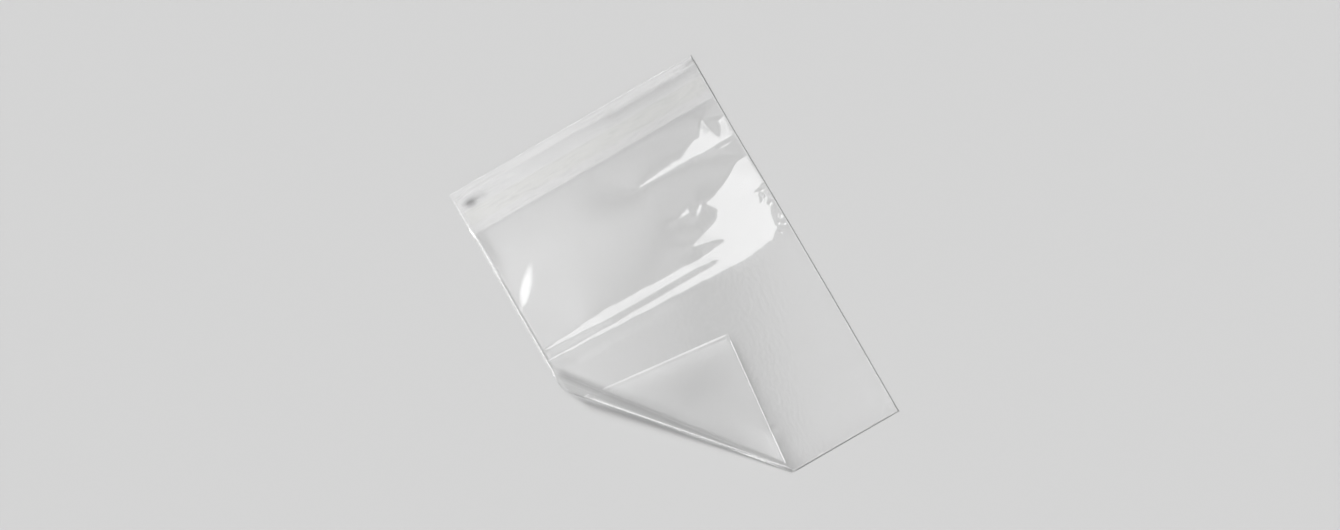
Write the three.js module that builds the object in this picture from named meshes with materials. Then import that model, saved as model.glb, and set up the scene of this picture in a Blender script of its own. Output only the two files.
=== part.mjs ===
// Clear self-seal film bag lying on its back, flap closed, one bottom corner curled over the front.
// Millimetres, +Z up. X runs across the bag, Y from the bottom fold up to the flap fold.

import * as THREE from "three";

// Film and outline
const BAG_WIDTH = 220; // outside to outside of the two side seals
const BAG_LENGTH = 322; // bottom fold to flap fold
const FILM = 0.05; // film thickness
const EDGE_BAND = 1.2; // width of the welded side seals and of the pressed bottom fold
const POCKET_GAP = 0.4; // space between the two panels where the bag lies flat

// Flap
const FLAP_LENGTH = 35; // flap fold to the flap's free edge
const MOUTH_SETBACK = 7; // flap fold to the front panel's mouth edge
const FOLD_RADIUS = 0.9; // flap fold, measured to the middle of the film
const FOLD_RAMP = 8; // length over which the flap comes down onto the front panel

// Adhesive strip under the flap
const STRIP_THICKNESS = 0.05;
const STRIP_WIDTH = 12;
const STRIP_INSET = 5; // flap's free edge to the strip
const STRIP_END_GAP = 4; // strip's ends to the bag's sides

// Curled corner, a cone that tapers towards the bottom fold
const CURL_SIDE = 168.4; // corner to the start of the curl, along the side
const CURL_BOTTOM = 127.7; // corner to the start of the curl, along the bottom
const CURL_RADIUS_SIDE = 9; // tightest radius of the curl at its side end
const CURL_RADIUS_BOTTOM = 2.4; // tightest radius of the curl at its bottom end
const TIP_CLEARANCE = 1.5; // corner's tip above the front panel
const TIP_BAND = 4; // corner's tip to the end of the pocket

// Crosswise crease where the bag was once folded in half, a low step up to the air left in the bag
const CURL_TO_CREASE = 1.3; // start of the curl to the crease, along the side
const CREASE_FALL = 7.4; // how much lower the crease meets the other side
const CREASE_STEP = 0.8; // lift of the front panel above the crease
const CREASE_WIDTH = 20; // width of that step
const FLAP_MARGIN = 3; // level band of front panel below the flap's free edge
const FLAP_FADE = 24; // distance below that band over which the lift comes up

// Shallow pillows of air on top of that lift: middle, half sizes and height
const PILLOWS = [
  { x: -75, y: 66, halfX: 34, halfY: 42, height: 0.9 },
  { x: 60, y: 56, halfX: 48, halfY: 38, height: 0.9 },
  { x: 58, y: 104, halfX: 50, halfY: 16, height: 0.7 },
];

// Mesh divisions
const COLUMNS = 20;
const PANEL_ROWS = 13;
const CREASE_ROWS = 4;
const FAN_SIDE_ROWS = 9;
const FAN_BOTTOM_ROWS = 5;
const CURL_ROWS = 14;
const TIP_ROWS = 5;
const FOLD_ROWS = 6;
const RAMP_ROWS = 5;
const CURL_STEPS = 96;
const SOLVER_STEPS = 40;

// Derived lines of the flat bag
const sideX = BAG_WIDTH / 2;
const topY = BAG_LENGTH / 2;
const bottomY = -BAG_LENGTH / 2;
const mouthY = topY - MOUTH_SETBACK;
const flapEdgeY = topY - FLAP_LENGTH;
const levelY = flapEdgeY - FLAP_MARGIN;
const stack = 2 * FILM + POCKET_GAP;

// Start line of the curl, from the bottom to the side, and the point where all its rulings meet
const corner = new THREE.Vector2(-sideX, bottomY);
const curlSide = new THREE.Vector2(-sideX, bottomY + CURL_SIDE);
const curlBottom = new THREE.Vector2(-sideX + CURL_BOTTOM, bottomY);
const along = curlSide.clone().sub(curlBottom).normalize();
const toCorner = new THREE.Vector2(-along.y, along.x);
const taper = (CURL_RADIUS_SIDE - CURL_RADIUS_BOTTOM) / curlSide.distanceTo(curlBottom);
const apex = curlBottom.clone().addScaledVector(along, -CURL_RADIUS_BOTTOM / taper);
const cornerAngle = swingOf(corner.x, corner.y);

const { lerp, smoothstep } = THREE.MathUtils;

// Angle at the apex from the start line of the curl to a flat point, negative on the flat part
function swingOf(x, y) {
  const offset = new THREE.Vector2(x, y).sub(apex);
  return Math.atan2(offset.dot(toCorner), offset.dot(along));
}

// Height of the crease line across the flat bag
function creaseAt(x) {
  return curlSide.y + CURL_TO_CREASE - CREASE_FALL * (0.5 + x / BAG_WIDTH);
}

// Space between the panels at a flat point
function pocketAt(x, y) {
  const fromSides = 1 - (x / sideX) ** 2;
  const fromCrease = smoothstep(y - creaseAt(x), 0, CREASE_WIDTH);
  const fromFlap = smoothstep(levelY - y, 0, FLAP_FADE);
  let lift = CREASE_STEP * fromSides;
  for (const pillow of PILLOWS) {
    const reach = Math.hypot((x - pillow.x) / pillow.halfX, (y - pillow.y) / pillow.halfY);
    lift += pillow.height * Math.max(0, 1 - reach ** 2) ** 2;
  }
  return POCKET_GAP + lift * fromCrease * fromFlap;
}

// Ruling of the curled film at an angle past its start line: x runs along it, y onwards, z out of the film.
// The film turns by `turn` with its tightest bend half way round, and is flat from there on.
function curlFrame(swing, turn) {
  const bend = 0.5 * Math.PI * turn * taper;
  const bent = Math.min(swing, bend);
  const step = bent / CURL_STEPS;
  const turnedAt = (angle) => 0.5 * turn * (1 - Math.cos((Math.PI * angle) / bend));
  const basis = new THREE.Matrix4().makeBasis(
    new THREE.Vector3(along.x, along.y, 0),
    new THREE.Vector3(toCorner.x, toCorner.y, 0),
    new THREE.Vector3(0, 0, 1),
  );
  const frame = new THREE.Quaternion().setFromRotationMatrix(basis);
  const rotate = (x, y, z, angle) => {
    frame.multiply(new THREE.Quaternion().setFromAxisAngle(new THREE.Vector3(x, y, z), angle));
  };
  for (let i = 0; i < CURL_STEPS; i += 1) {
    rotate(1, 0, 0, turnedAt((i + 1) * step) - turnedAt(i * step));
    rotate(0, 0, 1, step);
  }
  rotate(0, 0, 1, swing - bent);
  return frame;
}

// Place of a flat point of the bag, `height` above the back panel's outer face
function place(x, y, height, turn) {
  const swing = swingOf(x, y);
  if (swing <= 0) return new THREE.Vector3(x, y, height);
  const distance = apex.distanceTo(new THREE.Vector2(x, y));
  const offset = new THREE.Vector3(distance, 0, height).applyQuaternion(curlFrame(swing, turn));
  return offset.add(new THREE.Vector3(apex.x, apex.y, 0));
}

// Turn of the curl that brings the corner's tip down to its clearance over the front panel
function solveTurn() {
  let low = Math.PI * 0.95;
  let high = Math.PI * 1.35;
  for (let i = 0; i < SOLVER_STEPS; i += 1) {
    const turn = (low + high) / 2;
    const tip = place(corner.x, corner.y, stack, turn);
    const floor = 2 * FILM + pocketAt(tip.x, tip.y);
    if (tip.z > floor + TIP_CLEARANCE) low = turn;
    else high = turn;
  }
  return low;
}
const curlTurn = solveTurn();

// Straight lines across the flat bag, from the mouth down to the curled corner
function rulings() {
  const lines = [];
  const across = (leftY, rightY) => {
    lines.push({ left: new THREE.Vector2(-sideX, leftY), right: new THREE.Vector2(sideX, rightY), onSide: true });
  };
  const [creaseLeft, creaseRight] = [creaseAt(-sideX), creaseAt(sideX)];
  across(mouthY, mouthY);
  for (let i = 0; i < PANEL_ROWS; i += 1) {
    const share = i / PANEL_ROWS;
    across(
      lerp(levelY, creaseLeft + CREASE_WIDTH, share),
      lerp(levelY, creaseRight + CREASE_WIDTH, share),
    );
  }
  for (let i = CREASE_ROWS; i >= 0; i -= 1) {
    const above = (CREASE_WIDTH * i) / CREASE_ROWS;
    across(creaseLeft + above, creaseRight + above);
  }

  const fanRows = FAN_SIDE_ROWS + FAN_BOTTOM_ROWS;
  for (let i = 1; i <= fanRows; i += 1) {
    const left = new THREE.Vector2(-sideX, lerp(creaseLeft, curlSide.y, i / fanRows));
    const onSide = i <= FAN_SIDE_ROWS;
    const down = lerp(creaseRight, bottomY, i / FAN_SIDE_ROWS);
    const inward = lerp(sideX, curlBottom.x, (i - FAN_SIDE_ROWS) / FAN_BOTTOM_ROWS);
    const right = onSide ? new THREE.Vector2(sideX, down) : new THREE.Vector2(inward, bottomY);
    lines.push({ left, right, onSide });
  }

  const bendEnd = 0.5 * Math.PI * curlTurn * taper;
  const pocketEnd = cornerAngle - TIP_BAND / apex.distanceTo(corner);
  const curlLine = (swing) => {
    const ray = along.clone().rotateAround(new THREE.Vector2(), swing);
    const toSide = (-sideX - apex.x) / ray.x;
    const toBottom = (bottomY - apex.y) / ray.y;
    lines.push({
      left: apex.clone().addScaledVector(ray, toSide),
      right: apex.clone().addScaledVector(ray, toBottom),
      onSide: false,
    });
  };
  for (let i = 1; i <= CURL_ROWS; i += 1) curlLine(lerp(0, bendEnd, i / CURL_ROWS));
  for (let i = 1; i <= TIP_ROWS; i += 1) curlLine(lerp(bendEnd, pocketEnd, i / TIP_ROWS));
  return lines;
}

// Flat points along one ruling: both ends, the inner lines of the edge bands, and even steps between
function stations({ left, right, onSide }) {
  const span = right.clone().sub(left);
  const length = span.length();
  const leftBand = EDGE_BAND / (span.x / length);
  const rightBand = onSide ? leftBand : EDGE_BAND / (-span.y / length);
  const points = [];
  for (let i = 0; i <= COLUMNS; i += 1) {
    let distance = lerp(leftBand, length - rightBand, (i - 1) / (COLUMNS - 2));
    if (i === 0) distance = 0;
    if (i === COLUMNS) distance = length;
    points.push(left.clone().addScaledVector(span, distance / length));
  }
  return points;
}

// Middle line of the film from the mouth up the lip, round the flap fold and down the flap
function flapPath() {
  const foldY = topY - FOLD_RADIUS - FILM / 2;
  const foldZ = FILM / 2 + FOLD_RADIUS;
  const restZ = stack + STRIP_THICKNESS + FILM / 2;
  const drop = foldZ + FOLD_RADIUS - restZ;
  const path = [];
  for (let i = 0; i <= FOLD_ROWS; i += 1) {
    const angle = (Math.PI * i) / FOLD_ROWS;
    const y = foldY + FOLD_RADIUS * Math.sin(angle);
    const z = foldZ - FOLD_RADIUS * Math.cos(angle);
    path.push({ y, z, angle });
  }
  for (let i = 1; i <= RAMP_ROWS; i += 1) {
    const share = i / RAMP_ROWS;
    const slope = (0.5 * Math.PI * drop * Math.sin(Math.PI * share)) / FOLD_RAMP;
    const z = restZ + 0.5 * drop * (1 + Math.cos(Math.PI * share));
    path.push({ y: foldY - FOLD_RAMP * share, z, angle: Math.PI + Math.atan(slope) });
  }
  path.push({ y: flapEdgeY, z: restZ, angle: Math.PI });
  return path;
}

// Closed triangle surface put together from rows of shared points
class FilmSurface {
  constructor() {
    this.points = [];
    this.faces = [];
  }

  point(position) {
    this.points.push(position);
    return this.points.length - 1;
  }

  face(...loop) {
    for (let i = 1; i < loop.length - 1; i += 1) this.faces.push(loop[0], loop[i], loop[i + 1]);
  }

  // Faces between each row and the next, split along the same diagonal on both sides of a film
  sheet(rows, flipped) {
    for (let k = 0; k < rows.length - 1; k += 1) {
      for (let i = 0; i < rows[k].length - 1; i += 1) {
        const [near, beside] = [rows[k][i], rows[k][i + 1]];
        const [below, across] = [rows[k + 1][i], rows[k + 1][i + 1]];
        if (flipped) this.face(near, below, across, beside);
        else this.face(near, beside, across, below);
      }
    }
  }

  // Faces between two lines of points
  strip(lower, upper) {
    this.sheet([lower, upper], false);
  }

  geometry() {
    const geometry = new THREE.BufferGeometry().setFromPoints(this.points);
    geometry.setIndex(this.faces);
    geometry.computeVertexNormals();
    return geometry;
  }
}

// The folded and side-welded web of film
function filmBag() {
  const surface = new FilmSurface();
  const flatRows = rulings().map(stations);
  const inner = (row) => row.slice(1, COLUMNS);
  const layer = (row, heightAt) =>
    row.map(({ x, y }) => surface.point(place(x, y, heightAt(x, y), curlTurn)));
  const column = (rows, i) => rows.map((row) => row.at(i));

  // Both faces of the back panel and of the front panel
  const backOuter = flatRows.map((row) => layer(row, () => 0));
  const backInner = flatRows.map((row) => layer(inner(row), () => FILM));
  const frontInner = flatRows.map((row) => layer(inner(row), (x, y) => FILM + pocketAt(x, y)));
  const frontOuter = flatRows.map((row) => layer(row, (x, y) => 2 * FILM + pocketAt(x, y)));
  surface.sheet(backOuter, false);
  surface.sheet(backInner, true);
  surface.sheet(frontInner, false);
  surface.sheet(frontOuter, true);

  // Edge bands: outside of both sides, and the pocket's two sides and end
  const outside = backOuter.slice(1).map((row, k) => [row, frontOuter[k + 1]]);
  const leftOutside = outside.map(([back, front]) => [back.at(0), front.at(0)]);
  const rightOutside = outside.map(([back, front]) => [back.at(-1), front.at(-1)]);
  surface.sheet(leftOutside, true);
  surface.sheet(rightOutside, false);
  surface.strip(column(frontInner, 0), column(backInner, 0));
  surface.strip(column(backInner, -1), column(frontInner, -1));
  surface.strip(frontInner.at(-1), backInner.at(-1));

  // Tip of the corner
  const tipBack = surface.point(place(corner.x, corner.y, 0, curlTurn));
  const tipFront = surface.point(place(corner.x, corner.y, stack, curlTurn));
  const lastBack = backOuter.at(-1);
  const lastFront = frontOuter.at(-1);
  for (let i = 0; i < COLUMNS; i += 1) {
    surface.face(lastBack[i], lastBack[i + 1], tipBack);
    surface.face(lastFront[i + 1], lastFront[i], tipFront);
  }
  surface.face(lastBack.at(0), tipBack, tipFront, lastFront.at(0));
  surface.face(lastBack.at(-1), lastFront.at(-1), tipFront, tipBack);

  // Mouth: rim of the front panel and the ends of the two side seals
  const lipLeft = surface.point(new THREE.Vector3(-sideX, mouthY, FILM));
  const lipRight = surface.point(new THREE.Vector3(sideX, mouthY, FILM));
  const mouthOuter = frontOuter[0];
  const mouthInner = frontInner[0];
  const mouthBack = backInner[0];
  surface.strip(inner(mouthOuter), mouthInner);
  surface.face(lipLeft, mouthOuter.at(0), mouthOuter.at(1), mouthInner.at(0), mouthBack.at(0));
  surface.face(lipRight, mouthBack.at(-1), mouthInner.at(-1), mouthOuter.at(-2), mouthOuter.at(-1));
  const [nextLeft, nextRight] = [leftOutside[0], rightOutside[0]];
  surface.face(lipLeft, backOuter[0].at(0), nextLeft[0], nextLeft[1], mouthOuter.at(0));
  surface.face(lipRight, mouthOuter.at(-1), nextRight[1], nextRight[0], backOuter[0].at(-1));

  // Lip, flap fold and flap
  const flapOuter = [backOuter[0]];
  const flapInner = [[lipLeft, ...mouthBack, lipRight]];
  for (const { y, z, angle } of flapPath()) {
    const offset = (side) => ({
      y: y - side * 0.5 * FILM * Math.sin(angle),
      z: z + side * 0.5 * FILM * Math.cos(angle),
    });
    const line = (side) =>
      flatRows[0].map(({ x }) => surface.point(new THREE.Vector3(x, offset(side).y, offset(side).z)));
    flapOuter.push(line(-1));
    flapInner.push(line(1));
  }
  surface.sheet(flapOuter, true);
  surface.sheet(flapInner, false);
  surface.strip(column(flapInner, 0), column(flapOuter, 0));
  surface.strip(column(flapOuter, -1), column(flapInner, -1));
  surface.strip(flapInner.at(-1), flapOuter.at(-1));
  return surface.geometry();
}

// Pressure-sensitive band that holds the flap to the front panel
function adhesiveStrip() {
  const length = BAG_WIDTH - 2 * STRIP_END_GAP;
  const geometry = new THREE.BoxGeometry(length, STRIP_WIDTH, STRIP_THICKNESS);
  geometry.translate(0, flapEdgeY + STRIP_INSET + STRIP_WIDTH / 2, stack + STRIP_THICKNESS / 2);
  return geometry;
}

const film = new THREE.Mesh(
  filmBag(),
  new THREE.MeshStandardMaterial({ color: 0xe9ecec, roughness: 0.06, transparent: true, opacity: 0.3 }),
);
film.name = "film_bag";

const strip = new THREE.Mesh(
  adhesiveStrip(),
  new THREE.MeshStandardMaterial({ color: 0xf1f1ea, roughness: 0.35, transparent: true, opacity: 0.4 }),
);
strip.name = "adhesive_strip";

const bag = new THREE.Group();
bag.name = "cellophane_bag";
bag.add(film, strip);
export default bag;
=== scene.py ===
"""Clear self-seal film bag on a pale floor, its flap shut and one bottom corner curled over the front."""

import math

import bpy
import numpy as np
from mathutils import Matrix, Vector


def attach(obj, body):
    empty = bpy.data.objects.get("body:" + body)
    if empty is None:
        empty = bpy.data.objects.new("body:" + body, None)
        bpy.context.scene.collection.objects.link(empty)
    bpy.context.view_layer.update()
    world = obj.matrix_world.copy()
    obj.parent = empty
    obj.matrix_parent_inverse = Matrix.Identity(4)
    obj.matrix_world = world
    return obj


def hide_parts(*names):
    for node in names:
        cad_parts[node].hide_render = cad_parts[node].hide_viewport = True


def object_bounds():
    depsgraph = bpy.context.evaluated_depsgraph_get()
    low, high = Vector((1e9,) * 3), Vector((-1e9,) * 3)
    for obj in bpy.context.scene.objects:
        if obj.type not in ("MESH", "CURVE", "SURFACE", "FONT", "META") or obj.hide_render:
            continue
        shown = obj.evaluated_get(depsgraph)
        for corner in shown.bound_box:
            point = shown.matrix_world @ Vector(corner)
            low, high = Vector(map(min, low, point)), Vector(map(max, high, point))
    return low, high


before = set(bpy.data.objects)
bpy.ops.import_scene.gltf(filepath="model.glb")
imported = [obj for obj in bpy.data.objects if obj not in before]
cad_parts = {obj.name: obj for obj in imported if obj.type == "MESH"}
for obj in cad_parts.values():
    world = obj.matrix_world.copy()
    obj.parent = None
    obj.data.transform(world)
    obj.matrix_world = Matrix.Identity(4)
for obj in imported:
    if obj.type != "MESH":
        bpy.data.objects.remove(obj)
cad_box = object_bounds()

# Camera: it looks straight down on the bag from 5 m, turned so that the bag lies across the picture as in
# the photograph. Sizes here and below are in millimetres, and MM brings them to the frame's metres.
MM = 0.001
CAMERA_TURN = math.radians(30)
LENS, SENSOR = 180.0, 36.0
PICTURE_SIZE = np.array([1340, 530])
BAG_CENTRE_PIXEL = np.array([674.2, 303.1])
MM_PER_PIXEL = 0.7806
image_right = np.array([math.cos(CAMERA_TURN), -math.sin(CAMERA_TURN)])
image_up = np.array([math.sin(CAMERA_TURN), math.cos(CAMERA_TURN)])
off_right, off_down = (PICTURE_SIZE / 2 - BAG_CENTRE_PIXEL) * MM_PER_PIXEL
looked_at = off_right * image_right - off_down * image_up
camera_height = PICTURE_SIZE[0] * MM_PER_PIXEL * LENS / SENSOR
camera_data = bpy.data.cameras.new("camera")
camera_data.lens = LENS
camera_data.sensor_width = SENSOR
camera = bpy.data.objects.new("camera", camera_data)
camera.location = (*(looked_at * MM), camera_height * MM)
camera.rotation_euler = (0, 0, -CAMERA_TURN)
bpy.context.scene.collection.objects.link(camera)
bpy.context.scene.camera = camera

# Film bag: one web of clear film 0.05 mm thick, folded across at the bottom and hot-cut along both sides,
# which melts the panels together in a thin round bead. At the mouth the back panel runs on and folds over
# into the flap. The bag lies on its back with a little air in it, and one bottom corner has rolled up.
WIDTH, LENGTH = [round(float(high - low) / MM, 3) for low, high in zip(*cad_box)][:2]
FILM, POCKET = 0.05, 0.4
MOUTH_SETBACK, FLAP_LENGTH = 7.0, 36.8
SIDE, TOP, BOTTOM = WIDTH / 2, LENGTH / 2, -LENGTH / 2
MOUTH, FLAP_EDGE = TOP - MOUTH_SETBACK, TOP - FLAP_LENGTH
STACK = 2 * FILM + POCKET

# Curled corner: from a start line across the flat bag the film bends round a cone, tighter at the bottom
CURL_SIDE, CURL_BOTTOM = 168.4, 127.7  # corner to the start line, along the side and along the bottom
CURL_RADIUS_SIDE, CURL_RADIUS_BOTTOM = 9.0, 2.4
LEAST_TURN, MOST_TURN, TURN_ROUNDS = 0.95 * math.pi, 1.35 * math.pi, 40
TIP_CLEARANCE, TIP_BAND = 1.5, 4.0
SET_BACK_SIDE, SET_BACK_BOTTOM = -0.2, 3.3  # how far the turned-over film lies back from the cone
UPRIGHT_SET_BACK, UPRIGHT_RANGE = 1.9, 0.7  # and how much further where it stands upright
corner = np.array([-SIDE, BOTTOM])
curl_side = np.array([-SIDE, BOTTOM + CURL_SIDE])
curl_bottom = np.array([-SIDE + CURL_BOTTOM, BOTTOM])
curl_length = np.linalg.norm(curl_side - curl_bottom)
along = (curl_side - curl_bottom) / curl_length
to_corner = np.array([-along[1], along[0]])
taper = (CURL_RADIUS_SIDE - CURL_RADIUS_BOTTOM) / curl_length
apex = curl_bottom - along * CURL_RADIUS_BOTTOM / taper
corner_angle = math.atan2((corner - apex) @ to_corner, (corner - apex) @ along)


def about_ruling(angle):
    """Turn about the first axis."""
    c, s = math.cos(angle), math.sin(angle)
    return np.array([[1, 0, 0], [0, c, -s], [0, s, c]])


def about_normal(angle):
    """Turn about the third axis."""
    c, s = math.cos(angle), math.sin(angle)
    return np.array([[c, -s, 0], [s, c, 0], [0, 0, 1]])


def bend_of(turn):
    """Angle about the apex over which the film bends, for the turn that it makes in all."""
    return 0.5 * math.pi * turn * taper


def curl_frame(swing, turn, steps=96):
    """Ruling, onward direction and normal of the curled film, at an angle past the curl's start line."""
    bend = bend_of(turn)
    bent = min(swing, bend)
    turned = 0.5 * turn * (1 - np.cos(np.pi * np.linspace(0, bent, steps + 1) / bend))
    axes = np.column_stack([(*along, 0), (*to_corner, 0), (0, 0, 1)])
    for lift in np.diff(turned):
        axes = axes @ about_ruling(lift) @ about_normal(bent / steps)
    return axes @ about_normal(swing - bent)


def place(flat, height, axes):
    """Points of the bag from flat points and their height over the back panel's outer face."""
    height = np.broadcast_to(height, len(flat))
    if axes is None:
        return np.column_stack([flat, height])
    distance = np.linalg.norm(flat - apex, axis=1)
    nearness = (distance - np.linalg.norm(curl_bottom - apex)) / curl_length
    level = axes[2, 2]
    set_back = SET_BACK_BOTTOM + (SET_BACK_SIDE - SET_BACK_BOTTOM) * nearness
    set_back = set_back * min(1 - level, 1)
    set_back = set_back + UPRIGHT_SET_BACK * max(1 - (level / UPRIGHT_RANGE) ** 2, 0)
    shift = np.outer(-set_back, (*to_corner, 0))
    return np.array([*apex, 0]) + shift + np.outer(distance, axes[:, 0]) + np.outer(height, axes[:, 2])


# The film turns over just so far that the corner's tip comes down close to the front panel
low, high = LEAST_TURN, MOST_TURN
for _ in range(TURN_ROUNDS):
    turn = (low + high) / 2
    tip = place(corner[None], STACK, curl_frame(corner_angle, turn))[0]
    low, high = (turn, high) if tip[2] > STACK + TIP_CLEARANCE else (low, turn)

# Relief of the front panel between the crease and the flap. On each facet, given by its outline, the film
# leans to one side, as it does where it was creased. Elsewhere it lies as flat as it can, apart from a slow
# rise from the left seal.
PANEL_LOW, PANEL_HIGH, CELL = -4.0, 121.0, 1.0
RIGHT_FACETS = (
    # flank of the lower air pillow, with the two long streaks of the crosswise crease
    ((103.6, 72.6), (107, 69.7), (107.3, 44.9), (102.6, 42.5), (98.1, 42.5), (100.6, 40.5), (98.1, 38.5),
     (103.1, 39.5), (107, 37), (103.1, 31.6), (104.5, 29.1), (99.6, 22.2), (99.6, 11.3), (91.7, 4.4),
     (66.9, 1.9), (15.5, 4.2), (-10.3, 5), (-34, 5.7), (-49.8, 6.5), (-66.7, 7.5), (-83.5, 8.4),
     (-109, 8.9), (-109, 10.9), (-83.5, 10.8), (-49.8, 10.4), (-10.3, 9.9), (40.2, 9.9), (48.8, 11.8),
     (40.2, 14.4), (-10.3, 15.2), (-34, 15), (-49.8, 15), (-66.7, 15.6), (-83.5, 16.4), (-105.5, 17.6),
     (-105.5, 20), (-83.5, 21.2), (-66.7, 21.6), (-49.8, 22.7), (-34, 22.2), (33.3, 20.2), (60, 22.7),
     (53.1, 27.1), (33.3, 31.1), (61, 40), (65.5, 46.9), (60, 54.8), (72.9, 58.8), (87.7, 65.7),
     (95.6, 71.2)),
    # flank of the upper air pillow
    ((21, 91.2), (21, 92.8), (55.1, 95.8), (61, 94.8), (70, 99.8), (77.8, 103.3), (80.3, 100.8),
     (85.2, 110), (90.7, 115.5), (95.1, 94.4), (99.4, 100.8), (99.9, 106.3), (103.6, 107.9),
     (107.5, 106.3), (106.5, 92.4), (106, 90.4), (82.3, 90.4)),
    ((91.2, 85.5), (91.7, 88), (101.6, 88.3), (101.1, 86.5)),
    # two small dents left of the lower pillow
    ((34.3, 54.8), (39.2, 57.3), (45.7, 58.8), (46.2, 55.3), (40.2, 54.6)),
    ((48.1, 48.4), (50.6, 53.3), (57, 57.8), (56.5, 55.3), (52.6, 51.4)),
)
LEFT_FACET = (
    (-105.7, 55.3), (-102.3, 63.7), (-99.8, 68.7), (-94.4, 74.1), (-88.9, 78.6), (-79, 85.5), (-85, 74.1),
    (-89.9, 66.2), (-97.3, 58.8),
)

# Slopes that the facets have: from low to high along an axis, and up to half to either side of it
RIGHT_LEAN = {"axis": np.array([1, -1]) / math.sqrt(2), "low": 0.022, "high": 0.058, "half": 0.055}
LEFT_LEAN = {"axis": np.array([-1, 0.3]) / math.hypot(1, 0.3), "low": 0.05, "high": 0.12, "half": 0.05}
LEFT_RISE, LEFT_REACH, LEFT_FADE, SLACK = 0.012, 60.0, 80.0, 0.006
CREASE_TOP, CREASE_FADE = 24.0, 14.0
LEVEL_BEARING = math.radians(15)
level_axis = np.array([math.cos(LEVEL_BEARING), -math.sin(LEVEL_BEARING)])


def ramp(value, start, reach):
    """Nothing up to a start, then rising to one over a reach."""
    return np.clip((value - start) / reach, 0, 1)


def inside(outline, x, y):
    """Which points lie inside an outline."""
    found = np.zeros(x.shape, bool)
    for (x0, y0), (x1, y1) in zip(outline, outline[1:] + outline[:1]):
        crosses = (y0 > y) != (y1 > y)
        if y0 != y1:
            found ^= crosses & (x < x0 + (y - y0) * (x1 - x0) / (y1 - y0))
    return found


def held_to(lean_x, lean_y, facet, axis, low, high, half, margin=0.004):
    """Nearest leans inside a range on the facets, and outside it elsewhere."""
    out = lean_x * axis[0] + lean_y * axis[1]
    side = lean_y * axis[0] - lean_x * axis[1]
    depth = np.stack([out - low + margin, high + margin - out, half + margin - side, side + half + margin])
    nearest = np.where((depth > 0).all(0) & ~facet, depth.argmin(0), -1)
    clear_out = np.where(nearest == 0, low - margin, np.where(nearest == 1, high + margin, out))
    clear_side = np.where(nearest == 2, half + margin, np.where(nearest == 3, -half - margin, side))
    out = np.where(facet, np.clip(out, low + margin, high - margin), clear_out)
    side = np.where(facet, np.clip(side, margin - half, half - margin), clear_side)
    return out * axis[0] - side * axis[1], out * axis[1] + side * axis[0]


def sine_basis(count):
    """Sine waves that fit a row of points held at both ends, and how strongly each pulls itself flat."""
    number = np.arange(1, count + 1)
    waves = math.sqrt(2 / (count + 1)) * np.sin(np.pi * np.outer(number, number) / (count + 1))
    return waves, 2 - 2 * np.cos(np.pi * number / (count + 1))


def settle_panel(rounds=260, stiffness=0.3, lowest=-0.1):
    """Heights of the panel on a grid, relaxed until every facet leans as it should."""
    across = round(WIDTH / CELL) - 1
    up = round((PANEL_HIGH - PANEL_LOW) / CELL) - 1
    middle_x = -SIDE + CELL * (np.arange(across + 1) + 0.5)
    middle_y = PANEL_LOW + CELL * (np.arange(up + 1) + 0.5)
    x, y = np.meshgrid(middle_x, middle_y)
    right_facet = np.any([inside(outline, x, y) for outline in RIGHT_FACETS], axis=0)
    left_facet = inside(LEFT_FACET, x, y)
    plain = ~(right_facet | left_facet)
    rise = -LEFT_RISE * np.clip((LEFT_REACH - (x + SIDE)) / LEFT_FADE + 0.5, 0, 1)
    rise *= ramp(y, CREASE_TOP, CREASE_FADE)
    # a facet's lean is counted from halfway between the zenith and the line of sight
    seen_x = (x - looked_at[0]) / (2 * camera_height)
    seen_y = (y - looked_at[1]) / (2 * camera_height)
    waves_x, pull_x = sine_basis(across)
    waves_y, pull_y = sine_basis(up)
    pull = (pull_y[:, None] + pull_x[None]) / CELL**2
    give = 1 / (pull + stiffness * pull**2)
    z = np.zeros((up + 2, across + 2))
    held_x, held_y = np.zeros_like(x), np.zeros_like(x)
    for _ in range(rounds):
        slope_x, slope_y = np.diff(z, axis=1) / CELL, np.diff(z, axis=0) / CELL
        lean_x = -(slope_x[1:] + slope_x[:-1]) / 2
        lean_y = -(slope_y[:, 1:] + slope_y[:, :-1]) / 2
        want_x, want_y = lean_x + held_x, lean_y + held_y
        sideways = want_x * level_axis[0] + want_y * level_axis[1]
        too_far = np.where(plain, sideways - np.clip(sideways, rise - SLACK, rise + SLACK), 0)
        calm_x = want_x - too_far * level_axis[0] + seen_x
        calm_y = want_y - too_far * level_axis[1] + seen_y
        left_x, left_y = held_to(calm_x, calm_y, left_facet, **LEFT_LEAN)
        right_x, right_y = held_to(left_x, left_y, right_facet, **RIGHT_LEAN)
        goal_x = np.where(left_facet, left_x, right_x) - seen_x
        goal_y = np.where(left_facet, left_y, right_y) - seen_y
        held_x, held_y = want_x - goal_x, want_y - goal_y
        step_x, step_y = goal_x - held_x - lean_x, goal_y - held_y - lean_y
        slope_x[1:] -= step_x / 2
        slope_x[:-1] -= step_x / 2
        slope_y[:, 1:] -= step_y / 2
        slope_y[:, :-1] -= step_y / 2
        load = np.diff(slope_x[1:-1], axis=1) / CELL + np.diff(slope_y[:, 1:-1], axis=0) / CELL
        z[1:-1, 1:-1] = np.maximum(-(waves_y @ ((waves_y @ load @ waves_x) * give) @ waves_x), lowest)
    return z


def spot(x, y, centre, reach):
    """One at a centre, fading away over a reach in x and in y."""
    return np.exp(-(((x - centre[0]) / reach[0]) ** 2) - ((y - centre[1]) / reach[1]) ** 2)


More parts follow.
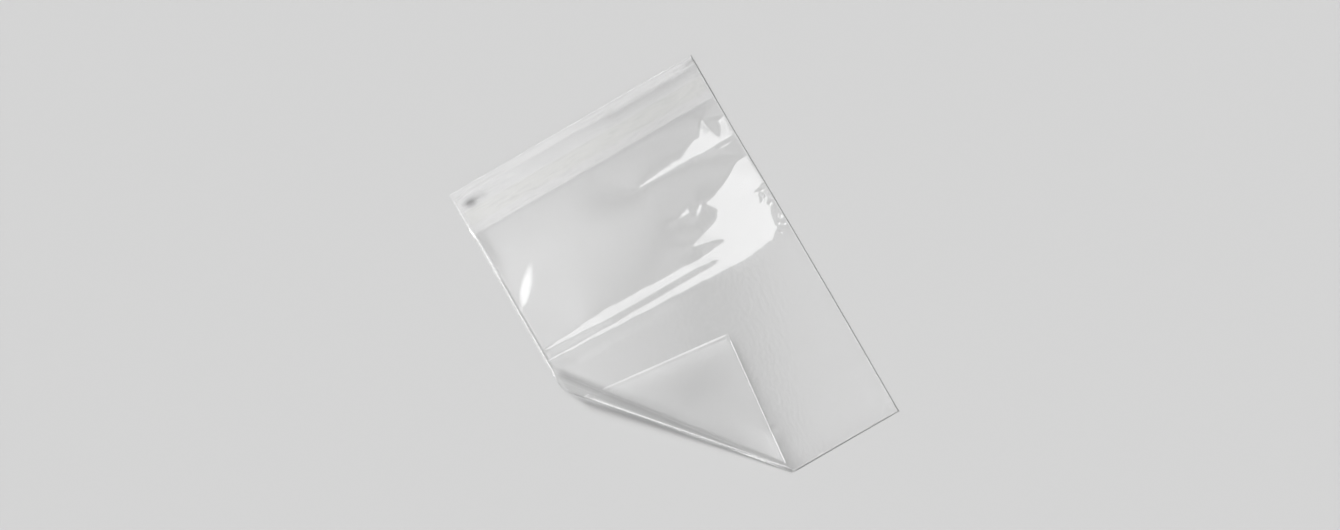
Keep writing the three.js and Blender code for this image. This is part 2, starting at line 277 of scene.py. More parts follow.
def soften(z, centre, reach, rounds=8, pace=0.6):
    """Smooths the heights around one place, as film does away from its creases."""
    x = -SIDE + CELL * np.arange(1, z.shape[1] - 1)
    y = PANEL_LOW + CELL * np.arange(1, z.shape[0] - 1)
    share = spot(x[None], y[:, None], centre, reach)
    for _ in range(rounds):
        around = (z[:-2, 1:-1] + z[2:, 1:-1] + z[1:-1, :-2] + z[1:-1, 2:]) / 4
        z[1:-1, 1:-1] += pace * share * (around - z[1:-1, 1:-1])


relief = settle_panel()
soften(relief, centre=(-88, 78), reach=(12, 14))

# Small puckers along the right seal: height, the two ends of the ridge, and its half-width
PUCKERS = (
    (0.1, (98.6, 42.7), (105.5, 42.7), 1.0),
    (0.1, (102.2, 42), (102, 38), 1.0),
    (0.08, (102, 38), (99.4, 34.5), 1.0),
    (0.1, (106.8, 45), (106.6, 34), 1.1),
    (0.1, (103.8, 30.2), (103.8, 30.2), 1.2),
    (0.12, (105.4, 17), (106.4, 18.6), 1.2),
    (0.11, (101.6, 13.6), (101.6, 13.6), 1.3),
    (0.1, (105, 11.2), (105, 11.2), 1.2),
    (0.1, (99.3, 6.6), (99.3, 6.6), 1.2),
)
LEAST_SPAN = 1e-9  # stands for the span of a round pucker, whose ends are one place


def pucker_lift(flat):
    """Lift of the puckers at flat points."""
    lift = np.zeros(len(flat))
    for height, start, end, reach in PUCKERS:
        span = np.subtract(end, start)
        share = np.clip((flat - start) @ span / max(span @ span, LEAST_SPAN), 0, 1)
        away = np.linalg.norm(flat - start - np.outer(share, span), axis=1)
        lift += height * np.exp(-((away / reach) ** 2))
    return lift


def cubic_weights(way):
    """Weights of four neighbouring heights, at a share of the way between the middle two."""
    return np.stack([
        ((2 - way) * way - 1) * way / 2,
        (way * way * (3 * way - 5) + 2) / 2,
        ((4 - 3 * way) * way + 1) * way / 2,
        (way - 1) * way * way / 2,
    ])


def lift_at(flat):
    """Lift of the front panel at flat points."""
    last_row, last_column = np.array(relief.shape) - 1
    up = np.clip((flat[:, 1] - PANEL_LOW) / CELL, 0, last_row)
    across = np.clip((flat[:, 0] + SIDE) / CELL, 0, last_column)
    row = np.minimum(up.astype(int), last_row - 1)
    column = np.minimum(across.astype(int), last_column - 1)
    z = np.zeros(len(flat))
    for i, row_weight in enumerate(cubic_weights(up - row), start=-1):
        for j, column_weight in enumerate(cubic_weights(across - column), start=-1):
            near_row, near_column = np.clip(row + i, 0, last_row), np.clip(column + j, 0, last_column)
            z += row_weight * column_weight * relief[near_row, near_column]
    return np.where((flat[:, 1] > PANEL_LOW) & (flat[:, 1] < PANEL_HIGH), z + pucker_lift(flat), 0)


# Straight lines across the flat bag, from the mouth to the corner: level ones first, then a fan that turns
# from the crease to the start of the curl, and last the rulings of the cone. Each has its two ends, whether
# its right end lies on the side seal, and its swing past the start of the curl.
RIGHT_DRAW, DRAW_START, DRAW_REACH = 1.7, -110.0, 200.0
BELOW_HEM, UNDER_FLAP, EDGE_STEP = 146.0, (139.0, 132.0), 0.6
CURL_TO_CREASE, PANEL_LINES = 1.3, 125
FAN_MIDDLE, FAN_SIDE_STEPS = -12.0, (14, 14)
FAN_FOOT, FAN_BOTTOM_STEPS = 46.0, (5, 10)
BEND_STEPS, CORNER_STEPS = 44, 18


def graded(start, *legs):
    """Values from a start through the end of each leg, in that leg's number of even steps."""
    values = [start]
    for end, steps in legs:
        values.extend(np.linspace(values[-1], end, steps + 1)[1:])
    return np.array(values)


def right_edge(y):
    """Place of the right seal, which draws in a little towards the mouth."""
    return SIDE - RIGHT_DRAW * ramp(y, DRAW_START, DRAW_REACH) ** 2


lines = []
fan_start = curl_side[1] + CURL_TO_CREASE
under_flap = (MOUTH, BELOW_HEM, *UNDER_FLAP, FLAP_EDGE + EDGE_STEP, FLAP_EDGE)
for y in (*under_flap, *np.linspace(PANEL_HIGH, fan_start, PANEL_LINES)):
    lines.append(((-SIDE, y), (right_edge(y), y), True, 0))
side_y = graded(fan_start, *zip((FAN_MIDDLE, BOTTOM), FAN_SIDE_STEPS))[1:]
bottom_x = graded(SIDE, *zip((FAN_FOOT, curl_bottom[0]), FAN_BOTTOM_STEPS))[1:]
fan_ends = [(right_edge(y), y) for y in side_y] + [(x, BOTTOM) for x in bottom_x]
for i, y in enumerate(np.linspace(fan_start, curl_side[1], len(fan_ends) + 1)[1:]):
    lines.append(((-SIDE, y), fan_ends[i], i < len(side_y), 0))
bend_end = bend_of(turn)
pocket_end = corner_angle - TIP_BAND / np.linalg.norm(corner - apex)
for swing in graded(0, (bend_end, BEND_STEPS), (pocket_end, CORNER_STEPS))[1:]:
    ray = math.cos(swing) * along + math.sin(swing) * to_corner
    left = apex + ray * (-SIDE - apex[0]) / ray[0]
    right = apex + ray * (BOTTOM - apex[1]) / ray[1]
    lines.append((left, right, False, swing))

# Stations along a line: across the round bead at each edge, as shares of its width from the edge inwards,
# and over the panel between the beads. The left bead is broader towards the flap and pressed flat under it.
LEFT_BEAD_WIDTH, RIGHT_BEAD_WIDTH = 3.6, 2.0
BEAD_SHARES = np.array([0, 0.15, 0.35, 0.5, 0.75])
LEFT_BEAD_LEVELS = (80.0, 92.0, 121.0, 128.0)
LEFT_BEAD_HEIGHTS = np.array([0.3, 0.4, 0.52, 0.55, STACK])
LEFT_BEAD_BROAD = np.array([0.3, 0.38, 0.48, 0.53, 0.6])
LEFT_BEAD_PRESSED = np.array([0.46, 0.475, 0.49, 0.5, STACK])
RIGHT_BEAD_HEIGHTS = np.array([0.1, 0.25, 0.4, 0.47, STACK])
FRONT_SHARES = graded(0, (0.617, 74), (1, 79))
BACK_SHARES = graded(0, (0.1, 5), (0.75, 13), (1, 11))
BEADS = len(BEAD_SHARES)
PANEL = slice(BEADS, -BEADS)


def stations(left, right, right_on_side, shares):
    """Flat points along a line, over both beads and the panel between them."""
    left, right = np.array(left), np.array(right)
    span = right - left
    length = np.linalg.norm(span)
    left_band = LEFT_BEAD_WIDTH * length / span[0]
    right_band = RIGHT_BEAD_WIDTH * length / (span[0] if right_on_side else -span[1])
    inner = left_band + shares * (length - left_band - right_band)
    outer = length - right_band * BEAD_SHARES[::-1]
    return left + np.outer(np.concatenate([left_band * BEAD_SHARES, inner, outer]) / length, span)


def left_bead(y):
    """Heights across the left bead."""
    profiles = zip(LEFT_BEAD_HEIGHTS, LEFT_BEAD_BROAD, LEFT_BEAD_BROAD, LEFT_BEAD_PRESSED)
    return np.array([np.interp(y, LEFT_BEAD_LEVELS, heights) for heights in profiles])


# Melt of the film across each bead, and how much of it the left and right beads show on each face. The
# melt makes a bead glossier and also adds a painted shadow under it.
LEFT_BEAD_MELT = np.array([0.22, 0.22, 0.22, 0, 0])
RIGHT_BEAD_MELT = np.array([0.65, 0.65, 0.65, 0.35, 0])
FRONT_MELT, FRONT_MELT_CURLED = (1.0, 1.0), (0.5, 0.35)
BACK_MELT, BACK_MELT_TURNED, TURNED_OVER = (0.5, 0.08), (1.2, 0.6), 0.85


def melt_of(columns, rounded, left, right):
    """How far the film is melted at each station of a row, less so where it curls; the melt also adds a
    painted shadow.
    """
    inner = np.zeros(columns - 2 * BEADS)
    return (1 - rounded) * np.concatenate([left * LEFT_BEAD_MELT, inner, right * RIGHT_BEAD_MELT[::-1]])


# Painted shade about the roll, where the film is made to keep light off: beside its start line, in its lower
# flank and on its crest. Values in pairs are for an upper and a lower part of the roll, and margins are a
# start and a reach from the left edge inwards.
BESIDE_SHADE, BESIDE_FADE, BESIDE_MARGIN = 0.245, 1.15, (3, 4)
BESIDE_PARTS, BESIDE_REACH, UNDER_REACH = (0.22, 0.38), (2.0, 5.5), 4.5
FLANK_PARTS, FLANK_PLACE, FLANK_WIDTH = (0.3, 0.8), (0.345, 0.42), (0.045, 0.1)
FLANK_SHADE_PARTS, FLANK_SHADE = (0.2, 0.5), (0.3, 1)
CREST_SHADE, CREST_PLACE, CREST_WIDTH = 0.15, 0.75, 0.12
ROLL_MARGIN = (12, 24)
# painted shade along the left bead, along it under the flap, and along the bottom bead
LEFT_BEAD_SHADE = np.array([0, 0, 0, 0.35, 0.35])
LEFT_FLAP_SHADE = np.array([0.12, 0.12, 0.1, 0.05, 0])
BOTTOM_BEAD_SHADE = np.array([0.22, 0.22, 0.22, 0.1, 0])


def bulge(value, centre, reach):
    """One at a centre, fading away over a reach on both sides."""
    return np.exp(-(((value - centre) / reach) ** 2))


def roll_shade(flat, rolled):
    """Painted shade: how far light is kept off about the roll, on a line that lies so far round it."""
    inwards = flat[:, 0] + SIDE
    beside = (flat - curl_side) @ -to_corner
    lower = np.clip((flat - curl_side) @ -along / curl_length, 0, 1)
    reach = np.where(beside > 0, np.interp(lower, BESIDE_PARTS, BESIDE_REACH), UNDER_REACH)
    shade = BESIDE_SHADE * bulge(beside, 0, reach)
    shade *= ramp(inwards, *BESIDE_MARGIN) * np.clip(1 - BESIDE_FADE * lower, 0, 1)
    flank_place = np.interp(lower, FLANK_PARTS, FLANK_PLACE)
    flank_width = np.interp(lower, FLANK_PARTS, FLANK_WIDTH)
    flank = np.interp(lower, FLANK_SHADE_PARTS, FLANK_SHADE) * bulge(rolled, flank_place, flank_width)
    crest = CREST_SHADE * bulge(rolled, CREST_PLACE, CREST_WIDTH)
    return shade + ramp(inwards, *ROLL_MARGIN) * (flank + crest)


def shade_of(flat, rolled, right_on_side):
    """Painted shade: how far the film is made to keep light off at each station of a row, about the roll and
    in the beads.
    """
    shade = roll_shade(flat, rolled)
    if not rolled:
        shade[:BEADS] += np.interp(flat[0, 1], LEFT_BEAD_LEVELS[:2], (1, 0)) * LEFT_BEAD_SHADE
        shade[:BEADS] += np.interp(flat[0, 1], LEFT_BEAD_LEVELS[2:], (0, 1)) * LEFT_FLAP_SHADE
        if not right_on_side:
            shade[-BEADS:] += BOTTOM_BEAD_SHADE[::-1]
    return np.minimum(shade, 1)


# Painted shade and shadow on the flat front panel: spots with their strength, centre and reach, and bands
# beside the flap, the bottom fold and the turned-over corner's free edge
PANEL_SHADES = (
    # painted shade in a band beside the left seal, below the flap and further down
    (0.3, (-104, 107), (4, 21)),
    (0.07, (-98, 114), (14, 12)),
    (0.1, (-98, 38), (16, 20)),
    # painted shade left of the air pillows
    (0.06, (30, 66), (12, 15)),
    # painted shadow under the turned-over corner
    (0.16, (-18, -64), (28, 15)),
)
FLAP_SHADE, FLAP_SHADE_REACH = 0.085, 13.0
FOLD_SHADE, FOLD_SHADE_REACH = 0.09, 8.0
CORNER_SHADE, CORNER_TIP, CORNER_SLANT = 0.24, (23.4, -43.0), 0.0893
CORNER_REACH, CORNER_WIDENING, CORNER_WIDER = 5.0, 3.5, (100, 60)
CORNER_FADE = (1, 6)


def spots(x, y, rows):
    """Sum of spots, each with its strength, centre and reach."""
    return sum(strength * spot(x, y, centre, reach) for strength, centre, reach in rows)


def panel_shade(flat):
    """Painted shade: how far the flat front panel is made to keep light off."""
    x, y = flat.T
    shade = spots(x, y, PANEL_SHADES)
    shade += FLAP_SHADE * bulge(y, FLAP_EDGE, FLAP_SHADE_REACH) * (y <= FLAP_EDGE)
    shade += FOLD_SHADE * bulge(y, BOTTOM, FOLD_SHADE_REACH)
    beyond = x - CORNER_TIP[0] - CORNER_SLANT * (y - CORNER_TIP[1])
    reach = CORNER_REACH + CORNER_WIDENING * ramp(-y, *CORNER_WIDER)
    fade = ramp(CORNER_TIP[1] - y, *CORNER_FADE) * (beyond > 0)
    return shade + CORNER_SHADE * fade * bulge(beyond, 0, reach)


# Droop of the turned-over corner along its two free edges, from a place on the roll onwards
DROOP, DROOP_REACH, DROOP_START = np.array([0.35, 1.0]), np.array([16.0, 45.0]), 0.8


def droop_of(flat, rolled):
    """How far the turned-over film hangs down at each station of a row."""
    amount = min(max(rolled - DROOP_START, 0), 1)
    near = np.clip(1 - (flat - corner) / DROOP_REACH, 0, 1)
    return amount * (DROOP * near**2).sum(axis=1)


# Points and faces of the film. Each point says how far its film is melted, which also adds a painted shadow,
# hazy, in painted shade and on the round of the roll.
points, faces = [], []
point_shares = {"melt": [], "haze": [], "shade": [], "round": []}


def add_row(row, **shares):
    """Takes in a row of points with their shares."""
    points.extend(row)
    for name, values in point_shares.items():
        values.extend(np.broadcast_to(shares.get(name, 0), len(row)))
    return list(range(len(points) - len(row), len(points)))


def add_face(*loop):
    """Triangles of one face."""
    faces.extend((loop[0], loop[i], loop[i + 1]) for i in range(1, len(loop) - 1))


def add_sheet(rows, flipped):
    """Faces between each row and the next, split along the same diagonal on both sides of a film."""
    for upper, lower in zip(rows, rows[1:]):
        for a, b, c, d in zip(upper, upper[1:], lower[1:], lower):
            add_face(*((a, d, c, b) if flipped else (a, b, c, d)))


def add_seam(first, second):
    """Faces between two lines of points that differ in number."""
    first_end, second_end = len(first) - 1, len(second) - 1
    i = j = 0
    while i < first_end or j < second_end:
        if j == second_end or (i < first_end and (i + 1) * second_end <= (j + 1) * first_end):
            add_face(first[i], first[i + 1], second[j])
            i += 1
        else:
            add_face(first[i], second[j + 1], second[j])
            j += 1


# Back and front panel, each with its outer and inner face
ROUND_MARGIN, PRESSED = (4, 5), (0.1, 0.2)
back_outer, back_inner, front_inner, front_outer = [], [], [], []
for left, right, right_on_side, swing in lines:
    axes = curl_frame(swing, turn) if swing else None
    rolled = swing / bend_end
    rounded = math.sin(math.pi * min(rolled, 1)) ** 2
    flat = stations(left, right, right_on_side, BACK_SHARES)
    on_round = rounded * ramp(flat[:, 0] + SIDE, *ROUND_MARGIN)
    shade = shade_of(flat, rolled, right_on_side)
    hang = droop_of(flat, rolled)
    melt = melt_of(len(flat), rounded, *(BACK_MELT_TURNED if rolled > TURNED_OVER else BACK_MELT))
    back_outer.append(add_row(place(flat, hang, axes), melt=melt, shade=shade, round=on_round))
    inner = place(flat[PANEL], FILM + hang[PANEL], axes)
    back_inner.append(add_row(inner, shade=shade[PANEL], round=on_round[PANEL]))

    flat = stations(left, right, right_on_side, FRONT_SHARES)
    on_round = rounded * ramp(flat[:, 0] + SIDE, *ROUND_MARGIN)
    shade = shade_of(flat, rolled, right_on_side)
    if swing:
        lift = droop_of(flat, rolled)
        melt = melt_of(len(flat), rounded, *FRONT_MELT_CURLED)
    else:
        lift = lift_at(flat)
        lift[:BEADS] = 0
        lift[-BEADS:] = 0
        shade = np.minimum(shade + panel_shade(flat), 1)
        melt = melt_of(len(flat), rounded, *FRONT_MELT)
    inner = place(flat[PANEL], FILM + POCKET + lift[PANEL], axes)
    front_inner.append(add_row(inner, shade=shade[PANEL], round=on_round[PANEL]))
    pressed = ramp(rolled, *PRESSED)
    bead = (1 - pressed) * left_bead(left[1]) + pressed * LEFT_BEAD_PRESSED
    height = np.concatenate([bead, np.full(len(flat) - 2 * BEADS, STACK), RIGHT_BEAD_HEIGHTS[::-1]])
    front_outer.append(add_row(place(flat, height + lift, axes), melt=melt, shade=shade, round=on_round))
add_sheet(back_outer, False)
add_sheet(back_inner, True)
add_sheet(front_inner, False)
add_sheet(front_outer, True)

# Outside of both edges, and the pocket's two sides and end
left_wall = [[back[0], front[0]] for back, front in zip(back_outer[1:], front_outer[1:])]
right_wall = [[back[-1], front[-1]] for back, front in zip(back_outer[1:], front_outer[1:])]
add_sheet(left_wall, True)
add_sheet(right_wall, False)
add_sheet([[row[0] for row in front_inner], [row[0] for row in back_inner]], False)
add_sheet([[row[-1] for row in back_inner], [row[-1] for row in front_inner]], False)
add_seam(front_inner[-1], back_inner[-1])

# Tip of the curled corner
tip_axes = curl_frame(corner_angle, turn)
tip_back, = add_row(place(corner[None], DROOP.sum(), tip_axes))
tip_front, = add_row(place(corner[None], STACK + DROOP.sum(), tip_axes))
for a, b in zip(back_outer[-1], back_outer[-1][1:]):
    add_face(a, b, tip_back)
for a, b in zip(front_outer[-1], front_outer[-1][1:]):
    add_face(b, a, tip_front)
add_face(back_outer[-1][0], tip_back, tip_front, front_outer[-1][0])
add_face(back_outer[-1][-1], front_outer[-1][-1], tip_front, tip_back)

# Mouth: rim of the front panel and the ends of the two beads
mouth_ends = (-SIDE, MOUTH), (right_edge(MOUTH), MOUTH)
mouth_flat = stations(*mouth_ends, True, BACK_SHARES)
lip_left = add_row(place(mouth_flat[:BEADS], FILM, None))
lip_right = add_row(place(mouth_flat[-BEADS:], FILM, None))
add_sheet([front_outer[0][PANEL], front_inner[0]], False)
add_face(front_inner[0][0], back_inner[0][0], *lip_left[::-1], *front_outer[0][: BEADS + 1])
add_face(back_inner[0][-1], front_inner[0][-1], *front_outer[0][-BEADS - 1:], *lip_right[::-1])
add_face(lip_left[0], back_outer[0][0], *left_wall[0], front_outer[0][0])
add_face(lip_right[-1], front_outer[0][-1], *right_wall[0][::-1], back_outer[0][-1])

# Lip, flap fold and flap: middle line of the film and its angle. The flap lies on the adhesive strip.
STRIP_THICKNESS, HAIR = 0.05, 0.01
FOLD_RADIUS, FOLD_STEPS = 0.5, 8
FOLD_RAMP, RAMP_STEPS, FLAP_STEPS = 8.0, 10, (6, 6)
fold_y, fold_z = TOP - FOLD_RADIUS - FILM / 2, FILM / 2 + FOLD_RADIUS
rest_z = STACK + STRIP_THICKNESS + HAIR + FILM / 2
drop = fold_z + FOLD_RADIUS - rest_z
path = []
for angle in np.linspace(0, math.pi, FOLD_STEPS + 1):
    path.append((fold_y + FOLD_RADIUS * math.sin(angle), fold_z - FOLD_RADIUS * math.cos(angle), angle))
for share in np.linspace(0, 1, RAMP_STEPS + 1)[1:]:
    slope = 0.5 * math.pi * drop * math.sin(math.pi * share) / FOLD_RAMP
    z = rest_z + 0.5 * drop * (1 + math.cos(math.pi * share))
    path.append((fold_y - FOLD_RAMP * share, z, math.pi + math.atan(slope)))
for y in graded(fold_y - FOLD_RAMP, *zip((BELOW_HEM, FLAP_EDGE), FLAP_STEPS))[1:]:
    path.append((y, rest_z, math.pi))

# Waves over the hem, each with its height, length and start, and low bumps that closing leaves in the flap
HEM_WAVE_HEIGHT, HEM_WAVE_PLACE, HEM_WAVE_START = 0.15, (154, 1.2), (20, 15)
HEM_WAVES_MEAN, HEM_WAVES = 0.5, ((0.3, 4.3, 0), (0.2, 2.6, 2))
SWELL_X, SWELL_HEIGHTS, SWELL_PLACE = (-74, -69, -54, -48, 20), (0, 0.015, 0.15, 0.155, 0), (151, 5.5)
FLAP_BUMPS = (
    (0.14, (-101, 155.5), (5.5, 4.5)),
    (0.08, (-36, 150), (3, 3)),
    (0.1, (-4, 151.5), (4, 2.5)),
)


def waves_along(x, rows):
    """Sum of waves, each with its height, length and start."""
    return sum(height * np.sin(x / length + start) for height, length, start in rows)


def flap_lift(x, y):
    """How far the flap stands off: in waves over its hem, in a long swell and in bumps."""
    waves = HEM_WAVES_MEAN + waves_along(x, HEM_WAVES)
    lift = HEM_WAVE_HEIGHT * waves * ramp(x, *HEM_WAVE_START) * bulge(y, *HEM_WAVE_PLACE)
    lift += np.interp(x, SWELL_X, SWELL_HEIGHTS) * bulge(y, *SWELL_PLACE)
    return lift + spots(x, y, FLAP_BUMPS)


# Painted shade of the flap: a dark band over the hem, up to a ragged line along the right part of the flap
HEM_TOP, HEM_RAGS = 152.0, ((0.5, 2.9, 0), (0.4, 1.7, 1))
HEM_SHADE, HEM_REACH, HEM_START = 0.23, 3.6, (22, 8)
HEM_DARKER, HEM_DARKER_PLACE = 0.5, (33, 7)
OVER_HEM, OVER_HEM_SHADE, OVER_HEM_START = (0, 1, 3, 6), (0, 0.03, 0.06, 0.11), (-15, 20)
FLAP_SHADES = (
    # painted shade at the right end of the fold, and beside the right seal
    (0.3, (104, 156.5), (5, 2)),
    (0.06, (107, 140), (12, 20)),
    # painted shade beside the left seal
    (0.07, (-104, 134), (9, 12)),
    # painted shade of a dent at the left corner
    (1.2, (-98.5, 148), (4.8, 2.8)),
    (0.4, (-89, 148.6), (6, 2)),
)


def flap_shade(x, y):
    """Painted shade: how far the flap is made to keep light off, under and over its hem on the right, and in
    spots.
    """
    above = y - HEM_TOP - waves_along(x, HEM_RAGS)
    # painted shade under the ragged line, fading downwards
    pressed = np.exp(np.minimum(above, 0) / HEM_REACH) * (above < 0)
    pressed = pressed * (ramp(x, *HEM_START) + HEM_DARKER * bulge(x, *HEM_DARKER_PLACE))
    shade = HEM_SHADE * pressed
    shade += np.interp(above, OVER_HEM, OVER_HEM_SHADE) * ramp(x, *OVER_HEM_START)
    return shade + spots(x, y, FLAP_SHADES)


# Haze of the flap: most over the hem, and less in a clear patch
FLAP_HAZE, HEM_HAZE_REACH = 0.3, 8.0
CLEAR_PATCH = ((0.8, (-60, 151), (10, 5)),)
FLAP_SHARES = np.linspace(0, 1, 106)
RIM_DROP = 0.9
flap_x = stations(*mouth_ends, True, FLAP_SHARES)[:, 0]
rim = np.zeros(len(flap_x))
rim[-BEADS:] = RIGHT_BEAD_MELT[::-1]
flap_outer, flap_inner = [], []
for y, z, angle in path:
    turned_over = angle >= math.pi
    shade = flap_shade(flap_x, y) * turned_over
    haze = FLAP_HAZE + (1 - FLAP_HAZE) * ramp(y, BELOW_HEM, HEM_HAZE_REACH)
    haze = haze * (1 - rim) * (1 - spots(flap_x, y, CLEAR_PATCH))
    for rows, side in ((flap_outer, -1), (flap_inner, 1)):
        height = np.full(len(flap_x), z + 0.5 * side * FILM * math.cos(angle))
        height[-BEADS:] -= RIM_DROP * (STACK - RIGHT_BEAD_HEIGHTS[::-1]) * turned_over
        height += flap_lift(flap_x, y) * turned_over
        row_y = np.full(len(flap_x), y - 0.5 * side * FILM * math.sin(angle))
        row = np.column_stack([flap_x, row_y, height])
        rows.append(add_row(row, melt=rim, haze=haze, shade=shade))
add_seam(flap_outer[0], back_outer[0])
add_seam(lip_left + back_inner[0] + lip_right, flap_inner[0])
add_sheet(flap_outer, True)
add_sheet(flap_inner, False)
add_sheet([[row[0] for row in flap_inner], [row[0] for row in flap_outer]], False)
add_sheet([[row[-1] for row in flap_outer], [row[-1] for row in flap_inner]], False)
add_sheet([flap_inner[-1], flap_outer[-1]], False)

CREASE_ANGLE = math.radians(50)
film_mesh = bpy.data.meshes.new("film_bag_skin")
film_mesh.from_pydata(np.array(points) * MM, [], faces)
for name, values in point_shares.items():
    attribute = film_mesh.attributes.new(name, "FLOAT", "POINT")
    attribute.data.foreach_set("value", np.array(values, np.float32))
film_mesh.shade_smooth()
film_mesh.set_sharp_from_angle(angle=CREASE_ANGLE)
film_bag = bpy.data.objects.new("film_bag_skin", film_mesh)
bpy.context.scene.collection.objects.link(film_bag)


def add_node(tree, kind, *inputs, **settings):
    """A shader node with its settings, and with its first inputs linked or set in order."""
    node = tree.nodes.new(kind)
    for name, value in settings.items():
        setattr(node, name, value)
    for socket, value in zip(node.inputs, inputs):
        if isinstance(value, bpy.types.NodeSocket):
            tree.links.new(value, socket)
        else:
            socket.default_value = value
    return node


def combine(tree, operation, *inputs, **settings):
    """What a math node makes of its inputs."""
    return add_node(tree, "ShaderNodeMath", *inputs, operation=operation, **settings).outputs[0]


def spread(tree, value, start, end, low, high, **settings):
    """A value spread from one range over another."""
    return add_node(tree, "ShaderNodeMapRange", value, start, end, low, high, **settings).outputs[0]


# Fine ripple of a drawn or coated film, with long scuffs from handling
WAVE_DETAIL, SCUFF_DETAIL = 2, 4
SCUFF_TURN, SCUFF_STRETCH, SCUFF_RANGE = (0, 0, 0.6), (0.25, 2, 1), (0.55, 0.8)
ripple = bpy.data.node_groups.new("film_ripple", "ShaderNodeTree")
ripple.interface.new_socket("Scale", in_out="INPUT", socket_type="NodeSocketFloat")
ripple.interface.new_socket("Height", in_out="OUTPUT", socket_type="NodeSocketFloat")
ripple.interface.new_socket("Scuff", in_out="OUTPUT", socket_type="NodeSocketFloat")
ripple_in = ripple.nodes.new("NodeGroupInput")
ripple_out = ripple.nodes.new("NodeGroupOutput")
on_bag = add_node(ripple, "ShaderNodeTexCoord").outputs["Object"]
waves = add_node(ripple, "ShaderNodeTexNoise", on_bag)
waves.inputs["Detail"].default_value = WAVE_DETAIL
ripple.links.new(ripple_in.outputs["Scale"], waves.inputs["Scale"])
ripple.links.new(waves.outputs["Fac"], ripple_out.inputs["Height"])
drawn_out = add_node(ripple, "ShaderNodeMapping", on_bag)
drawn_out.inputs["Rotation"].default_value = SCUFF_TURN
drawn_out.inputs["Scale"].default_value = SCUFF_STRETCH
marks = add_node(ripple, "ShaderNodeTexNoise", drawn_out.outputs[0])
marks.inputs["Detail"].default_value = SCUFF_DETAIL
ripple.links.new(ripple_in.outputs["Scale"], marks.inputs["Scale"])
scuff = spread(ripple, marks.outputs["Fac"], *SCUFF_RANGE, 0.0, 1.0)
ripple.links.new(scuff, ripple_out.inputs["Scuff"])


def add_ripple(tree, shader, scale, strength, distance):
    """Places the ripple in a material, where it bumps the shader's normal, and gives its scuffs."""
    node = add_node(tree, "ShaderNodeGroup", node_tree=ripple)
    node.inputs["Scale"].default_value = scale
    bump = tree.nodes.new("ShaderNodeBump")
    bump.inputs["Strength"].default_value = strength
    bump.inputs["Distance"].default_value = distance * MM
    tree.links.new(node.outputs["Height"], bump.inputs["Height"])
    tree.links.new(bump.outputs["Normal"], shader.inputs["Normal"])
    return node.outputs["Scuff"]


# Clear film: what is behind it shows through, and each face reflects more the flatter it is looked along,
# most of all on the round of the roll and in the melted beads
FILM_SHINE, FILM_CLEAR = (0.97, 0.97, 0.97, 1), (0.995, 0.995, 0.995, 1)
FACING_GLOSS, FLAT_POWER, ROUND_POWER = 0.04, 5.0, -1.5
MELT_GLOSS, HAZE_GLOSS = 0.45, -0.013
ROUND_GLOSS, ROUND_GLOSS_POWER = 0.8, 2.0
# how strongly the painted shade and the melt dim light on its way to the floor, as painted shadow
SHADE_DIM, MELT_DIM = 0.6, 0.45
FILM_ROUGH, FLAP_ROUGH, HEM_CLEARER, SCUFF_ROUGH = 0.03, 0.27, 0.13, 0.05
clear_film = bpy.data.materials.new("clear_film_gloss")
clear_film.use_nodes = True
tree = clear_film.node_tree
gloss = tree.nodes["Principled BSDF"]
gloss.inputs["Base Color"].default_value = FILM_SHINE
gloss.inputs["Metallic"].default_value = 1
melt, haze, shade, on_round = (
    add_node(tree, "ShaderNodeAttribute", attribute_name=name).outputs["Fac"] for name in point_shares
)
facing = add_node(tree, "ShaderNodeLayerWeight").outputs["Facing"]
power = combine(tree, "MULTIPLY_ADD", on_round, ROUND_POWER, FLAT_POWER)
grazing = combine(tree, "POWER", facing, power)
shine = combine(tree, "MULTIPLY_ADD", grazing, 1 - FACING_GLOSS, FACING_GLOSS)
shine = combine(tree, "MULTIPLY_ADD", melt, MELT_GLOSS, shine)
shine = combine(tree, "MULTIPLY_ADD", haze, HAZE_GLOSS, shine)
steep = combine(tree, "POWER", facing, ROUND_GLOSS_POWER)
steep = combine(tree, "MULTIPLY", steep, on_round)
shine = combine(tree, "MULTIPLY_ADD", steep, ROUND_GLOSS, shine)
# painted shadow: for light on its way to the floor, the painted shade and the melt make the film keep more
# light off than clear film would
rays = add_node(tree, "ShaderNodeLightPath").outputs
lighting = combine(tree, "MAXIMUM", rays["Is Shadow Ray"], rays["Is Diffuse Ray"])
dim = combine(tree, "MULTIPLY", shade, SHADE_DIM)
dim = combine(tree, "MULTIPLY_ADD", melt, MELT_DIM, dim)
shine = combine(tree, "MULTIPLY_ADD", lighting, dim, shine, use_clamp=True)
rough = spread(tree, haze, 0.0, FLAP_HAZE, FILM_ROUGH, FLAP_ROUGH)
clearer = spread(tree, haze, FLAP_HAZE, 1.0, 0.0, HEM_CLEARER)
rough = combine(tree, "SUBTRACT", rough, clearer)
film_scuff = add_ripple(tree, gloss, scale=300, strength=1, distance=0.008)
rough = combine(tree, "MULTIPLY_ADD", film_scuff, SCUFF_ROUGH, rough)
tree.links.new(rough, gloss.inputs["Roughness"])
through = add_node(tree, "ShaderNodeBsdfTransparent", FILM_CLEAR).outputs[0]
film_mix = add_node(tree, "ShaderNodeMixShader", shine, through, gloss.outputs[0]).outputs[0]
tree.links.new(film_mix, tree.nodes["Material Output"].inputs["Surface"])
film_mesh.materials.append(clear_film)

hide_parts("film_bag")
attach(film_bag, "root")

